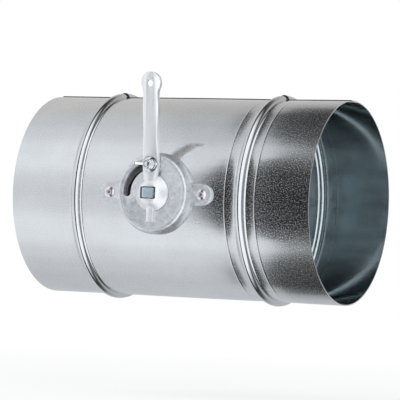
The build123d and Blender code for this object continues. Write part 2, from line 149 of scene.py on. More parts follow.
# Numerals from below the hub to its right, a twelfth of a turn apart
NUMERALS = "0369"
FIRST_NUMERAL = -math.pi / 2
NUMERAL_STEP = math.pi / 6
NUMERAL_MIDDLE = 0.33  # half a numeral's width and height, as a share of its size

# A ring's outline from one foot over its crown to the other and back under
MARK_RADII = ((0.0, 0.62), (0.25, 0.68), (0.5, 0.84), (0.75, 1.0), (1.0, 0.62))
MARK_HEIGHTS = ((0.0, 0.0), (0.25, 0.85), (0.5, 1.0), (0.75, 0.0), (1.0, 0.0))
MARK_SEGMENTS = 41
RIVET_SEGMENTS = 33
RIVET_TURNS = (0, 20, 40, 60, 75, 90)  # degrees over a rivet's crowned head

# The floor
FLOOR_SIZE = 12.0
FLOOR_GREY = (0.86, 0.86, 0.86)
FLOOR_NEAR = 0.25  # of its reach has the full shade
FLOOR_WHITE = 0.8  # of that shade is plain white

# The tent's paint, as stops of (degrees round from the handle's side, level)
WALL_BANDS = ((0, 0.80), (15, 0.85), (32, 0.98), (50, 0.94), (70, 0.80), (90, 0.70), (112, 0.63), (140, 0.61),
              (180, 0.61))
FLAG_BANDS = ((0, 0.02), (28, 0.03), (40, 0.11), (48, 0.20), (54, 0.27), (62, 0.14), (74, 0.07), (92, 0.05),
              (108, 0.05), (120, 0.13), (130, 0.45), (142, 0.60), (180, 0.62))
# How far the flag's edge has run along the duct, and how soft it is, as shares of their spans
EDGE_BANDS = ((0, 0.0), (22, 0.12), (30, 0.26), (38, 0.46), (48, 0.80), (56, 0.78), (66, 0.58), (76, 0.42),
              (90, 0.31), (104, 0.31), (120, 0.55), (180, 0.60))
BLUR_BANDS = ((0, 0.0), (30, 0.15), (48, 0.30), (62, 0.60), (80, 0.45), (110, 0.40), (180, 0.40))
BLUR_SPAN = (6 * MM, 46 * MM)
# Where two stretches of the wall set in along z and x, and their share of its level
WALL_STRETCHES = (((0.3, 0.55), (-0.44, -0.39), 0.87), ((-0.3, -0.5), (-0.46, -0.41), 1.09))
# Where the bank, the room past it and the ceiling set in or end, in metres or degrees round
BANK_START = (-0.12, -0.04)
BANK_END = (1.6, 0.8)
BANK_ROUND = (105, 75)
ROOM_START = (0.7, 1.5)
ROOM_ROUND = (150, 125)
CEILING_ROUND = (80, 112)
CEILING_RISE = (0.0, 0.1)

# Name, place from the shaft, size and watts of each soft lamp
LAMPS = (("key_lamp", (-0.9, -1.0, 1.1), 1.0, 14.0), ("fill_lamp", (0.9, -1.1, 0.7), 1.2, 5.0))
ROOM_LIGHT = (0.62, 0.64, 0.66)
WHITE = (1.0, 1.0, 1.0)

# The camera's yaw, pitch and roll in degrees, and its place in tube radii
CAMERA_TURNS = (26.48, 1.83, -1.01)
CAMERA_PLACE = (9.678, -22.71, 0.794)

# The finish of each material slot of the record
SLOT_FINISHES = {
    "galvanised_tube": "zinc_outside", "galvanised_blade": "zinc_blade", "zinc_plated_steel": "blue_plating",
    "spring_steel": "dark_steel", "nylon": "natural_nylon", "cast_aluminium_dial": "cast_dial",
    "cast_aluminium_lever": "cast_lever", "rivet_aluminium": "drawn_rivet", "bright_zinc": "bright_plating",
}


# Sizes and colours

def size_property(label, about, value):
    return bpy.props.FloatProperty(name=label, description=about, default=value, unit="LENGTH", precision=5)


def share_property(label, about, value):
    return bpy.props.FloatProperty(name=label, description=about, default=value, min=0, soft_max=1)


def colour_property(label, about, value):
    return bpy.props.FloatVectorProperty(name=label, description=about, default=value, size=3, min=0, max=1,
                                         subtype="COLOR")


class TubeLook(bpy.types.PropertyGroup):
    """The rolled tube."""
    wall: size_property("Wall", "Thickness of the sheet", 0.6 * MM)
    crown: size_property("Bead crown", "Outside radius of a bead's crown", 3.0 * MM)
    foot: size_property("Bead foot", "Hollow radius where a bead leaves the tube", 1.6 * MM)
    lap: size_property("Lap", "Width of the lengthwise overlap", 8.0 * MM)
    lap_lead: size_property("Lap lead", "Part of the overlap on the dial's side of the top", 5.0 * MM)
    lap_step: size_property("Lap step", "How far the overlap's free edge stands out", 0.35 * MM)
    lap_dip: size_property("Lap dip", "How far the under sheet dips before the overlap's free edge", 0.5 * MM)
    lap_reach: size_property("Lap reach", "Width of that dip", 5.0 * MM)
    leaf_gap: size_property("Leaf gap", "Space between the two sheets of the overlap", 0.05 * MM)
    waist: size_property("Waist", "How far rolling a bead draws the tube in beside it", 0.22 * MM)
    waist_reach: size_property("Waist reach", "Length over which the tube recovers", 11.0 * MM)
    mark: size_property("Roll mark", "Distance of the roller's mark from a bead's foot", 5.6 * MM)
    mark_width: size_property("Mark width", "Width of that mark", 0.4 * MM)
    mark_relief: size_property("Mark relief", "How far that mark stands out", 0.03 * MM)
    spacing: size_property("Spacing", "Distance between the mesh's rings on straight stretches", 3.0 * MM)
    turns: bpy.props.IntProperty(name="Segments", description="Segments round the tube", default=256, min=32)
    colour: colour_property("Zinc", "Colour of the zinc coating", (0.76, 0.77, 0.78))
    inner: colour_property("Zinc inside", "Colour of the coating inside", (0.73, 0.80, 0.82))


class HandleLook(bpy.types.PropertyGroup):
    """The cast dial and lever, and what clamps them."""
    edge: size_property("Edge", "Rounding of cast edges", 0.22 * MM)
    dish: size_property("Dish", "Depth of the dial's floor below its rim", 1.0 * MM)
    numeral: size_property("Numeral", "Height of the dial's numerals", 2.2 * MM)
    numeral_height: size_property("Numeral relief", "How far the numerals stand out", 0.15 * MM)
    numeral_radius: size_property("Numeral circle", "Radius of the circle of numerals", 15.2 * MM)
    mark: size_property("Setting mark", "Radius of the ring that the rivet tool leaves", 1.75 * MM)
    mark_height: size_property("Setting mark relief", "Depth of that ring", 0.35 * MM)
    mark_sink: size_property("Setting mark seat", "How deep the ring stands in the rivet's dome", 0.28 * MM)
    crown: size_property("Rivet crown", "How far a blade rivet's heads are crowned", 0.85 * MM)
    head: size_property("Rivet head", "Thickness of a blade rivet's heads", 1.1 * MM)
    shank: size_property("Rivet shank", "Radius of a blade rivet's shank", 1.6 * MM)
    dial: colour_property("Dial", "Colour of the cast dial", (0.87, 0.89, 0.91))
    lever: colour_property("Lever", "Colour of the cast lever", (0.93, 0.93, 0.935))
    plating: colour_property("Plating", "Colour of the blue zinc plating", (0.72, 0.83, 0.91))
    bright: colour_property("Bright plating", "Colour of the bright wing nut", (0.90, 0.91, 0.92))
    rivet: colour_property("Rivet", "Colour of the dial's rivets", (0.86, 0.80, 0.80))


class StageLook(bpy.types.PropertyGroup):
    """Camera, lights and floor."""
    focal: bpy.props.FloatProperty(name="Focal length", description="Camera's focal length", default=227.7,
                                   unit="CAMERA")
    roll_about_duct: bpy.props.FloatProperty(name="Roll", description="Turn of the view about the duct",
                                             default=math.radians(3.9), subtype="ANGLE")
    floor_drop: size_property("Floor", "Floor below the tube's underside", 60 * MM)
    floor_reach: size_property("Floor reach", "Distance at which the floor's shade has faded out", 900 * MM)
    tent: size_property("Tent", "Radius of the reflecting tent", 620 * MM)
    flag_edge: size_property("Flag edge", "Where the tent's dark flag begins, along the duct", -359 * MM)
    edge_travel: size_property("Edge travel", "Span over which the flag's edge moves along the duct", 80 * MM)
    bank_level: share_property("Bank level", "Strength of the bright bank that faces the handle", 1.35)
    room_level: share_property("Room level", "Strength of the tent beyond the bank", 0.35)
    wall_level: share_property("Wall level", "Strength of the pale wall left of the flag", 1.09)
    wall: colour_property("Wall", "Colour of the tent", (0.915, 0.955, 1.0))
    ceiling: colour_property("Ceiling", "Colour of the tent's upper part", (0.985, 0.975, 0.97))


# Node helpers

def group_socket(tree, label, kind, way, value=None):
    socket = tree.interface.new_socket(name=label, in_out=way, socket_type=kind)
    if value is not None:
        socket.default_value = value


class Nodes:
    """A short way to add and join nodes in one tree."""

    def __init__(self, tree):
        self.tree = tree

    def add(self, kind, settings=None, **inputs):
        """A node with its inputs fed, where underscores in a name stand for spaces."""
        node = self.tree.nodes.new(kind)
        for key, value in (settings or {}).items():
            setattr(node, key, value)
        for key, value in inputs.items():
            self.feed(node, key.replace("_", " "), value)
        return node

    def feed(self, node, key, value):
        """Joins a socket to an input, or sets its value. The key is a name, or a number as text."""
        socket = node.inputs[int(key)] if key.isdigit() else node.inputs[key]
        if isinstance(value, bpy.types.NodeSocket):
            self.tree.links.new(value, socket)
        else:
            socket.default_value = value

    def math(self, operation, a, b=0.0, clamp=False):
        node = self.add("ShaderNodeMath", {"operation": operation, "use_clamp": clamp})
        self.feed(node, "0", a)
        self.feed(node, "1", b)
        return node.outputs[0]

    def times(self, a, b):
        return self.math("MULTIPLY", a, b)

    def ramp(self, value, low, high, to_low=0.0, to_high=1.0):
        """A number that runs from to_low to to_high while the value runs from low to high."""
        node = self.add("ShaderNodeMapRange", {"clamp": True}, Value=value, From_Min=low, From_Max=high,
                        To_Min=to_low, To_Max=to_high)
        return node.outputs["Result"]

    def tint(self, factor, first, second):
        """A colour between two others."""
        node = self.add("ShaderNodeMix", {"data_type": "RGBA"})
        for index, item in ((0, factor), (6, first), (7, second)):
            self.feed(node, str(index), opaque(item) if isinstance(item, tuple) else item)
        return node.outputs[2]

    def blend(self, factor, first, second):
        """A number between two others."""
        node = self.add("ShaderNodeMix", {"data_type": "FLOAT"})
        for index, item in ((0, factor), (2, first), (3, second)):
            self.feed(node, str(index), item)
        return node.outputs[0]

    def vector_math(self, operation, a, b):
        node = self.add("ShaderNodeVectorMath", {"operation": operation})
        self.feed(node, "0", a)
        self.feed(node, "1", b)
        return node.outputs

    def bands(self, value, stops):
        """A level in stops of (degrees, level), for a value of 0 to 1 that stands for 0 to 180 degrees."""
        node = self.add("ShaderNodeValToRGB")
        self.feed(node, "0", value)
        ramp = node.color_ramp
        ramp.interpolation = "EASE"
        while len(ramp.elements) < len(stops):
            ramp.elements.new(0.5)
        for element, (degrees, _) in zip(ramp.elements, stops):
            element.position = degrees / 180
        for element, (_, level) in zip(ramp.elements, stops):
            element.color = (level, level, level, 1)
        return node.outputs[0]

    def curve(self, value, stops):
        """A number that runs straight from stop to stop of (value, result)."""
        node = self.add("ShaderNodeFloatCurve")
        self.feed(node, "Value", value)
        line = node.mapping.curves[0]
        while len(line.points) < len(stops):
            line.points.new(0.5, 0.5)
        for point, stop in zip(line.points, stops):
            point.location = stop
            point.handle_type = "VECTOR"
        node.mapping.update()
        return node.outputs[0]

    def stretch(self, vector, scale):
        return self.add("ShaderNodeMapping", Vector=vector, Scale=scale).outputs["Vector"]

    def noise(self, vector, scale, detail=2.0, roughness=0.5):
        node = self.add("ShaderNodeTexNoise", Vector=vector, Scale=scale, Detail=detail, Roughness=roughness)
        return node.outputs["Fac"]


def opaque(colour):
    """A colour with its alpha, as shader sockets take it."""
    return (*colour, 1.0)


def shade(colour, share):
    """A colour at a share of its strength."""
    return tuple(share * c for c in colour)


def material_nodes(label):
    """Makes a material and gives its nodes."""
    material = bpy.data.materials.new(label)
    material.use_nodes = True
    return Nodes(material.node_tree)


def show(n, shader):
    """Puts a shader in the place of the one that a new material starts with."""
    n.tree.nodes.remove(n.tree.nodes["Principled BSDF"])
    n.tree.links.new(shader, n.tree.nodes["Material Output"].inputs["Surface"])


# Shader groups

def build_grain_group():
    """Zinc coating or casting skin: speckle, streaks and cloudy patches as masks and a height."""
    tree = bpy.data.node_groups.new("metal_grain", "ShaderNodeTree")
    group_socket(tree, "Vector", "NodeSocketVector", "INPUT")
    group_socket(tree, "Speckle per metre", "NodeSocketFloat", "INPUT", 1400.0)
    group_socket(tree, "Streaks", "NodeSocketVector", "INPUT", (6.0, 420.0, 420.0))
    group_socket(tree, "Patches per metre", "NodeSocketFloat", "INPUT", 24.0)
    for label in ("Speckle", "Patch", "Height"):
        group_socket(tree, label, "NodeSocketFloat", "OUTPUT")
    n = Nodes(tree)
    source = tree.nodes.new("NodeGroupInput").outputs
    target = tree.nodes.new("NodeGroupOutput").inputs
    place = source["Vector"]
    speckle = n.noise(place, source["Speckle per metre"], detail=3.0, roughness=0.65)
    streak = n.noise(n.stretch(place, source["Streaks"]), 1.0, detail=3.0, roughness=0.6)
    patch = n.noise(place, source["Patches per metre"], detail=3.0, roughness=0.55)
    height = n.math("ADD", n.times(speckle, SPECKLE_SHARE), n.times(streak, 1 - SPECKLE_SHARE))
    for label, item in (("Speckle", speckle), ("Patch", patch), ("Height", height)):
        tree.links.new(item, target[label])


def build_scratch_group():
    """Long fine scratches, as a mask."""
    tree = bpy.data.node_groups.new("fine_scratches", "ShaderNodeTree")
    group_socket(tree, "Vector", "NodeSocketVector", "INPUT")
    group_socket(tree, "Amount", "NodeSocketFloat", "INPUT", 0.5)
    group_socket(tree, "Mask", "NodeSocketFloat", "OUTPUT")
    n = Nodes(tree)
    source = tree.nodes.new("NodeGroupInput").outputs
    target = tree.nodes.new("NodeGroupOutput").inputs
    families = []
    for turn, scale in SCRATCH_FAMILIES:
        turned = n.add("ShaderNodeMapping", Vector=source["Vector"],
                       Rotation=(0.0, turn * SCRATCH_TILT, turn), Scale=scale).outputs["Vector"]
        families.append(n.ramp(n.noise(turned, 1.0, detail=1.0, roughness=0.4), *SCRATCH_SPAN))
    tree.links.new(n.times(n.math("MAXIMUM", *families), source["Amount"]), target["Mask"])


# Finishes

def metal(label, colour, dark, rough, depth, speckle=1400.0, streaks=(6.0, 420.0, 420.0), patches=24.0,
          spread=0.10, scratches=0.3, by_uv=False, burnish=None, flecks=None, metallic=1.0, dial_shade_radius=None):
    """A metal with speckle, streaks, cloudy patches and scratches over its own surface.

    Its colour wanders between dark and colour, and its roughness over spread about rough. Speckle, streaks
    and patches are counted per metre. Burnish is how much the piece's attribute of that name smooths it, or
    below zero roughens it. Flecks are (count per metre, roughness, colour). The radius it is given for the
    dial is where painted shade darkens the zinc under the dial's slot.
    """
    n = material_nodes(label)
    shader = n.tree.nodes["Principled BSDF"]
    shader.inputs["Metallic"].default_value = metallic
    place = n.add("ShaderNodeTexCoord").outputs["UV" if by_uv else "Object"]
    grain = n.add("ShaderNodeGroup", {"node_tree": bpy.data.node_groups["metal_grain"]}, Vector=place,
                  Speckle_per_metre=speckle, Streaks=streaks, Patches_per_metre=patches).outputs
    lines = n.add("ShaderNodeGroup", {"node_tree": bpy.data.node_groups["fine_scratches"]}, Vector=place,
                  Amount=scratches).outputs["Mask"]
    tone = n.math("ADD", n.times(grain["Patch"], 0.5), n.times(grain["Speckle"], 0.5))
    base = n.tint(n.ramp(tone, *TONE_SPAN), dark, colour)
    base = n.tint(n.times(lines, SCRATCH_STRENGTH), base, SCRATCH_TINT)
    roughness = n.ramp(grain["Patch"], *SHEEN_SPAN, rough - spread / 2, rough + spread / 2)
    height = n.math("SUBTRACT", grain["Height"], n.times(lines, SCRATCH_DEPTH))
    if flecks is not None:
        count, fleck_rough, fleck_tint = flecks
        fleck = n.ramp(n.noise(place, count, detail=3.0, roughness=0.7), *FLECK_SPAN)
        roughness = n.blend(fleck, roughness, fleck_rough)
        base = n.tint(n.times(fleck, FLECK_STRENGTH), base, fleck_tint)
    # Painted shade on the zinc that the dial's slot shows
    if dial_shade_radius is not None:
        base = n.tint(under_dial(n, dial_shade_radius), base, shade(colour, DIAL_SHADE_SHARE))
    if burnish is not None:
        mask = n.add("ShaderNodeAttribute", {"attribute_name": "burnish"}).outputs["Fac"]
        keep = n.math("SUBTRACT", 1.0, n.times(mask, burnish))
        roughness = n.times(roughness, keep)
        height = n.times(height, keep)
    roughness = n.math("ADD", roughness, n.times(lines, SCRATCH_ROUGHNESS))
    bump = n.add("ShaderNodeBump", Height=height, Strength=1.0, Distance=depth).outputs["Normal"]
    for key, item in (("Base Color", base), ("Roughness", roughness), ("Normal", bump)):
        n.feed(shader, key, item)


def under_dial(n, radius):
    """Mask of the painted shade on the tube's surface under the dial, which stands in for the light that
    hardly reaches there.
    """
    place = n.add("ShaderNodeTexCoord").outputs["Object"]
    flat = n.vector_math("MULTIPLY", place, (1.0, 0.0, 1.0))["Vector"]
    away = n.vector_math("DISTANCE", flat, (SHAFT.x, 0.0, 0.0))["Value"]
    front = n.math("LESS_THAN", n.add("ShaderNodeSeparateXYZ", Vector=place).outputs["Y"], 0.0)
    return n.times(front, n.ramp(away, radius, (1 - DIAL_SHADE_EDGE) * radius))


def nylon(label, colour, clouds=160.0, grain=1800.0, depth=0.01 * MM):
    """Milky moulded nylon, with clouds and grain counted per metre."""
    n = material_nodes(label)
    shader = n.tree.nodes["Principled BSDF"]
    shader.inputs["Subsurface Weight"].default_value = 0.2
    shader.inputs["Subsurface Radius"].default_value = (2.0 * MM, 1.5 * MM, 1.0 * MM)
    place = n.add("ShaderNodeTexCoord").outputs["Object"]
    cloud = n.noise(place, clouds, detail=3.0)
    n.feed(shader, "Base Color", n.tint(n.ramp(cloud, *CLOUD_SPAN), shade(colour, 0.9), colour))
    n.feed(shader, "Roughness", n.ramp(cloud, *SHEEN_SPAN, 0.38, 0.52))
    bump = n.add("ShaderNodeBump", Height=n.noise(place, grain), Strength=1.0, Distance=depth)
    n.feed(shader, "Normal", bump.outputs["Normal"])


def sheet_finishes(look):
    """The tube's zinc, its cut ends, the shadow in its seam, and the blade's zinc."""
    zinc = tuple(look.colour)
    inner = tuple(look.inner)
    blade = shade(zinc, 0.95)
    # The outside zinc carries painted shade under the dial
    metal("zinc_outside", zinc, shade(zinc, 0.87), rough=0.11, depth=0.003 * MM, speckle=1500.0,
          streaks=(8.0, 300.0, 300.0), patches=30.0, spread=0.04, scratches=0.10, by_uv=True, burnish=0.4,
          flecks=(1500.0, 0.34, (0.80, 0.77, 0.73)), dial_shade_radius=DIAL_RADIUS)
    metal("zinc_inside", inner, shade(inner, 0.72), rough=0.115, depth=0.008 * MM, speckle=1300.0,
          streaks=(420.0, 7.0, 200.0), patches=60.0, spread=0.06, scratches=0.03, by_uv=True, burnish=-0.6,
          flecks=(1300.0, 0.26, shade(inner, 0.92)))
    metal("cut_edge", (0.82, 0.83, 0.84), (0.60, 0.61, 0.62), rough=0.28, depth=0.006 * MM,
          speckle=2500.0, by_uv=True)
    metal("seam_shadow", (0.09, 0.09, 0.09), (0.05, 0.05, 0.05), rough=0.6, depth=0.006 * MM,
          speckle=2500.0, by_uv=True)
    metal("zinc_blade", blade, shade(blade, 0.8), rough=0.33, depth=0.02 * MM, speckle=900.0, patches=40.0)


def cast_finishes(look):
    """The dial's mottled casting skin and the lever's tumbled one."""
    dial = tuple(look.dial)
    lever = tuple(look.lever)
    metal("cast_dial", dial, shade(dial, 0.73), rough=0.44, depth=0.016 * MM, speckle=700.0,
          streaks=(60.0, 60.0, 60.0), patches=300.0, scratches=0.3, metallic=0.92)
    metal("cast_lever", lever, shade(lever, 0.96), rough=0.43, depth=0.008 * MM, speckle=1500.0,
          streaks=(300.0, 300.0, 12.0), patches=90.0, scratches=0.15, metallic=0.84)


def small_part_finishes(look):
    """Platings, rivets, bare steel and nylon."""
    plating = tuple(look.plating)
    bright = tuple(look.bright)
    rivet = tuple(look.rivet)
    metal("blue_plating", plating, shade(plating, 0.8), rough=0.30, depth=0.012 * MM, speckle=1800.0,
          patches=260.0, scratches=0.4)
    metal("bright_plating", bright, shade(bright, 0.85), rough=0.13, depth=0.006 * MM, speckle=1200.0,
          patches=300.0, scratches=0.15)
    metal("drawn_rivet", rivet, shade(rivet, 0.86), rough=0.22, depth=0.01 * MM, speckle=1600.0,
          patches=300.0, scratches=0.25)
    metal("broken_steel", (0.44, 0.42, 0.41), (0.30, 0.29, 0.28), rough=0.45, depth=0.02 * MM,
          speckle=3000.0, patches=600.0)
    metal("dark_steel", (0.10, 0.095, 0.09), (0.05, 0.05, 0.05), rough=0.42, depth=0.01 * MM,
          speckle=1600.0, patches=300.0)
    nylon("natural_nylon", (0.83, 0.82, 0.77))


def slot_of(node):
    return next(s["material_slot"] for s in frame["record"]["subparts"] if s["node"] == node)


# Mesh helpers

def new_object(label, mesh):
    made = bpy.data.objects.new(label, mesh)
    bpy.context.scene.collection.objects.link(made)
    return made


def smooth(mesh, degrees):
    mesh.shade_smooth()
    mesh.set_sharp_from_angle(angle=math.radians(degrees))


def apply_modifiers(piece):
    """Bakes live modifiers into a plain mesh."""
    bpy.context.view_layer.update()
    depsgraph = bpy.context.evaluated_depsgraph_get()
    mesh = bpy.data.meshes.new_from_object(piece.evaluated_get(depsgraph))
    piece.modifiers.clear()
    piece.data = mesh
    mesh.name = piece.name


def skin_of(node, label, edge, material):
    """A merged copy of a CAD node with softened edges, which stands in for it."""
    mesh = frame["nodes"][node].data.copy()
    work = bmesh.new()
    work.from_mesh(mesh)
    bmesh.ops.remove_doubles(work, verts=work.verts, dist=TOUCHING)
    bmesh.ops.dissolve_degenerate(work, edges=work.edges, dist=TOUCHING)
    work.to_mesh(mesh)
    work.free()
    normals = mesh.attributes.get("custom_normal")
    if normals is not None:
        mesh.attributes.remove(normals)
    mesh.materials.clear()
    piece = new_object(label, mesh)
    bevel = piece.modifiers.new("soft_edges", "BEVEL")
    bevel.width = edge
    bevel.segments = 2
    bevel.limit_method = "ANGLE"
    bevel.angle_limit = math.radians(CAST_ANGLE)
    apply_modifiers(piece)
    smooth(piece.data, CAST_ANGLE)
    piece.data.materials.append(bpy.data.materials[material])
    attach(piece, body_of(frame["nodes"][node])[0])
    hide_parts(node)


# Geometry Nodes trees, and what grows from them

def geometry_tree(label, **inputs):
    """A tree that takes and gives a mesh, with named inputs of (socket kind, value) and a finish."""
    tree = bpy.data.node_groups.new(label, "GeometryNodeTree")
    tree.is_modifier = True
    group_socket(tree, "Geometry", "NodeSocketGeometry", "INPUT")
    for name, (kind, value) in inputs.items():
        group_socket(tree, name.replace("_", " "), kind, "INPUT", value)
    group_socket(tree, "Finish", "NodeSocketMaterial", "INPUT")
    group_socket(tree, "Geometry", "NodeSocketGeometry", "OUTPUT")
    return tree, Nodes(tree), tree.nodes.new("NodeGroupInput").outputs, tree.nodes.new("NodeGroupOutput")


def end_tree(n, geometry, source, target):
    """Closes a tree: real geometry with the finish on it."""
    real = n.add("GeometryNodeRealizeInstances", Geometry=geometry).outputs["Geometry"]
    coated = n.add("GeometryNodeSetMaterial", Geometry=real, Material=source["Finish"]).outputs["Geometry"]
    n.tree.links.new(coated, target.inputs["Geometry"])


def build_turned_tree(label, radius_stops, height_stops, rows=25):
    """Turned rings or heads, one on each point of the mesh it is given, with their axis along z."""
    tree, n, source, target = geometry_tree(
        label, Radius=("NodeSocketFloat", 1.0), Height=("NodeSocketFloat", 1.0),
        Segments=("NodeSocketInt", 32))
    grid = n.add("GeometryNodeMeshGrid", Size_X=1.0, Size_Y=1.0, Vertices_X=source["Segments"],
                 Vertices_Y=rows).outputs["Mesh"]
    # The grid's x, from minus a half to a half, becomes a turn, and its y the way along the outline.
    place = n.add("ShaderNodeSeparateXYZ", Vector=n.add("GeometryNodeInputPosition").outputs[0]).outputs
    turn = n.times(n.math("ADD", place["X"], 0.5), FULL_TURN)
    along = n.math("ADD", place["Y"], 0.5)
    reach = n.times(n.curve(along, radius_stops), source["Radius"])
    lift = n.times(n.curve(along, height_stops), source["Height"])
    spot = n.add("ShaderNodeCombineXYZ", X=n.times(n.math("COSINE", turn), reach),
                 Y=n.times(n.math("SINE", turn), reach), Z=lift).outputs["Vector"]
    bent = n.add("GeometryNodeSetPosition", Geometry=grid, Position=spot).outputs["Geometry"]
    shut = n.add("GeometryNodeMergeByDistance", Geometry=bent, Distance=TOUCHING).outputs["Geometry"]
    points = n.add("GeometryNodeMeshToPoints", Mesh=source["Geometry"]).outputs["Points"]
    copies = n.add("GeometryNodeInstanceOnPoints", Points=points, Instance=shut).outputs["Instances"]
    end_tree(n, copies, source, target)
    return tree


def build_numerals_tree():
    """Raised numerals spaced evenly on an arc, upright, one for each letter of the text it is given."""
    tree, n, source, target = geometry_tree(
        "raised_numerals", Text=("NodeSocketString", ""), Size=("NodeSocketFloat", 1.0),
        Height=("NodeSocketFloat", 1.0), Radius=("NodeSocketFloat", 1.0), First=("NodeSocketFloat", 0.0),
        Step=("NodeSocketFloat", 0.5))
    glyphs = n.add("GeometryNodeStringToCurves", String=source["Text"],
                   Size=source["Size"]).outputs["Curve Instances"]
    number = n.add("GeometryNodeInputIndex").outputs[0]
    turn = n.math("ADD", source["First"], n.times(number, source["Step"]))
    half = n.times(source["Size"], -NUMERAL_MIDDLE)
    across = n.math("ADD", n.times(n.math("COSINE", turn), source["Radius"]), half)
    up = n.math("ADD", n.times(n.math("SINE", turn), source["Radius"]), half)
    spot = n.add("ShaderNodeCombineXYZ", X=across, Y=up).outputs["Vector"]
    spread = n.add("GeometryNodeSetPosition", Geometry=glyphs, Position=spot).outputs["Geometry"]
    curves = n.add("GeometryNodeRealizeInstances", Geometry=spread).outputs["Geometry"]
    flat = n.add("GeometryNodeFillCurve", Curve=curves).outputs["Mesh"]
    raised = n.add("GeometryNodeExtrudeMesh", Mesh=flat, Offset_Scale=source["Height"], Individual=False)
    under = n.add("GeometryNodeFlipFaces", Mesh=flat)
    both = tree.nodes.new("GeometryNodeJoinGeometry")
    for part in (raised, under):
        tree.links.new(part.outputs["Mesh"], both.inputs[0])
    shut = n.add("GeometryNodeMergeByDistance", Geometry=both.outputs["Geometry"], Distance=TOUCHING)
    end_tree(n, shut.outputs["Geometry"], source, target)
    return tree


def grow(label, points, tree, place, body, slot, **values):
    """Runs a tree on a mesh of points and leaves a plain, closed mesh at its place on a body."""
    mesh = bpy.data.meshes.new(label)
    mesh.from_pydata([tuple(p) for p in points], [], [])
    piece = new_object(label, mesh)
    modifier = piece.modifiers.new(tree.name, "NODES")
    modifier.node_group = tree
    for socket in tree.interface.items_tree:
        key = socket.name.replace(" ", "_")
        if socket.in_out == "INPUT" and key in values:
            modifier[socket.identifier] = values[key]
    apply_modifiers(piece)
    work = bmesh.new()
    work.from_mesh(piece.data)
    bmesh.ops.recalc_face_normals(work, faces=work.faces)
    work.to_mesh(piece.data)
    work.free()
    piece.data.transform(place)
    smooth(piece.data, TURNED_ANGLE)
    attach(piece, body)
    return piece


def facing_out(y):
    """Lays x and y of a flat layout over x and z about the shaft, at a given y, with its z facing out."""
    return Matrix(((1, 0, 0, SHAFT.x), (0, 0, -1, y), (0, 1, 0, 0), (0, 0, 0, 1)))


def dial_numerals(look):
    """Plain numerals on the dial's floor, on the arc that the lever's tail sweeps."""
    grow("dial_numerals", [(0, 0, 0)], build_numerals_tree(), facing_out(DIAL_RIM + look.dish), "duct",
         "cast_aluminium_dial", Text=NUMERALS, Size=look.numeral, Height=look.numeral_height,
         Radius=look.numeral_radius, First=FIRST_NUMERAL, Step=NUMERAL_STEP,
         Finish=bpy.data.materials["cast_dial"])


def blade_rivets(look):
    """The four closed rivets of the blade: two crowned heads on a shank, turned as one."""
    nodes = [f"blade_rivet_{side}_{level}" for side in ("front", "rear") for level in ("lower", "upper")]
    boxes = [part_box(name) for name in nodes]
    low, high = boxes[0]
    radius = (high[1] - low[1]) / 2
    length = high[0] - low[0]
    turns = [math.radians(a) for a in RIVET_TURNS]
    crown = [(math.sin(a), look.crown * (1 - math.cos(a)) / length) for a in turns]
    seat = look.head / length
    shank = look.shank / radius
    under = [(r, 1 - h) for r, h in crown] + [(shank, 1 - seat), (shank, seat)]
    outline = under + crown[::-1]
    steps = np.linspace(0, 1, len(outline)).tolist()
    radii, heights = zip(*outline)
    tree = build_turned_tree("closed_rivet", list(zip(steps, radii)), list(zip(steps, heights)), len(outline))
    spots = [(-(a[2] + b[2]) / 2, (a[1] + b[1]) / 2, 0) for a, b in boxes]
    turned = Matrix(((0, 0, 1, low[0]), (0, 1, 0, 0), (-1, 0, 0, 0), (0, 0, 0, 1)))
    body = body_of(frame["nodes"][nodes[0]])[0]
    piece = grow("blade_rivets", spots, tree, turned, body, "zinc_plated_steel", Radius=radius, Height=length,
                 Segments=RIVET_SEGMENTS, Finish=bpy.data.materials["blue_plating"])
    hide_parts(*nodes)


def rivet_setting_marks(look):
    """The low ring that the rivet tool leaves on each of the dial's rivets."""
    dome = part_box("dial_rivet_left")[0][1]
    tree = build_turned_tree("setting_mark", MARK_RADII, MARK_HEIGHTS)
    grow("rivet_setting_marks", [(x - SHAFT.x, 0, 0) for x in RIVET_X], tree,
         facing_out(dome + look.mark_sink), "duct", "rivet_aluminium", Radius=look.mark,
         Height=look.mark_height, Segments=MARK_SEGMENTS, Finish=bpy.data.materials["drawn_rivet"])


# The tube's wall

def bead_half(look):
    """Half the width of a bead, from foot to foot."""
    both = look.crown + look.foot
    return math.sqrt(both ** 2 - (both - BEAD_HEIGHT) ** 2)


def bead_middles(look):
    """Where the right and the left bead stand along the duct."""
    inset = SPIGOT + bead_half(look)
    return -inset, inset - TUBE_LENGTH


def waist_depth(look, x):
    """How far the rolling of both beads draws the tube in at x."""
    beyond = [max(0.0, abs(x - middle) - bead_half(look)) for middle in bead_middles(look)]
    return look.waist * sum(math.exp(-distance / look.waist_reach) for distance in beyond)


def straight_points(look, start, end):
    """Points of a stretch between beads or ends, closer together over the rollers' marks."""
    middles = bead_middles(look)
    offset = bead_half(look) + look.mark
    even = np.linspace(start, end, max(3, round(abs(end - start) / look.spacing)))
    marks = [middle + side * offset + k * look.mark_width / 2
             for middle in middles for side in (-1, 1) for k in range(-MARK_ROWS, MARK_ROWS + 1)]
    points = []
    for x in sorted({*even, *(m for m in marks if end < m < start)}, reverse=True):
        before, after = waist_depth(look, x - SLOPE_REACH), waist_depth(look, x + SLOPE_REACH)
        slope = (before - after) / (2 * SLOPE_REACH)
        norm = math.hypot(1, slope)
        near = min(abs(abs(x - middle) - offset) for middle in middles)
        mark = math.exp(-(near / look.mark_width) ** 2)
        radius = TUBE_RADIUS - waist_depth(look, x) + look.mark_relief * mark
        points.append((x, radius, -slope / norm, 1 / norm, MARK_SHINE * mark))
    return points


